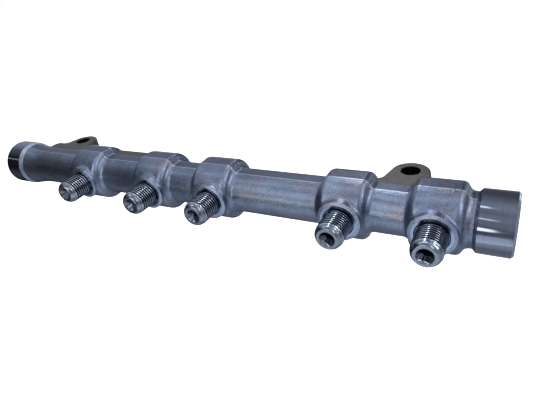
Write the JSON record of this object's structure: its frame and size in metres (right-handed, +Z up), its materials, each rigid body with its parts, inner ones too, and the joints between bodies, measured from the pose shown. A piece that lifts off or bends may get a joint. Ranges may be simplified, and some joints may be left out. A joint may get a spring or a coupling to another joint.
{
  "type": "fuel rail",
  "caption": "Forged steel high-pressure fuel rail: a stepped tube with round barrels, threaded line stubs along one side, bolt lugs behind and turned collars at the ends.",
  "frame": {"origin": "midway between the two bolt holes, on the plane that the lugs seat on", "axes": "+X along the rail, +Z up along the bolt axes, the outlet stubs point to -Y"},
  "size_m": [0.326, 0.0596, 0.0328],
  "materials": {
    "steel": "shot-blasted forged skin, with stubs, pad rings and end collars machined bright"
  },
  "bodies": {
    "root": {"rail_body": "steel"}
  },
  "joints": []
}
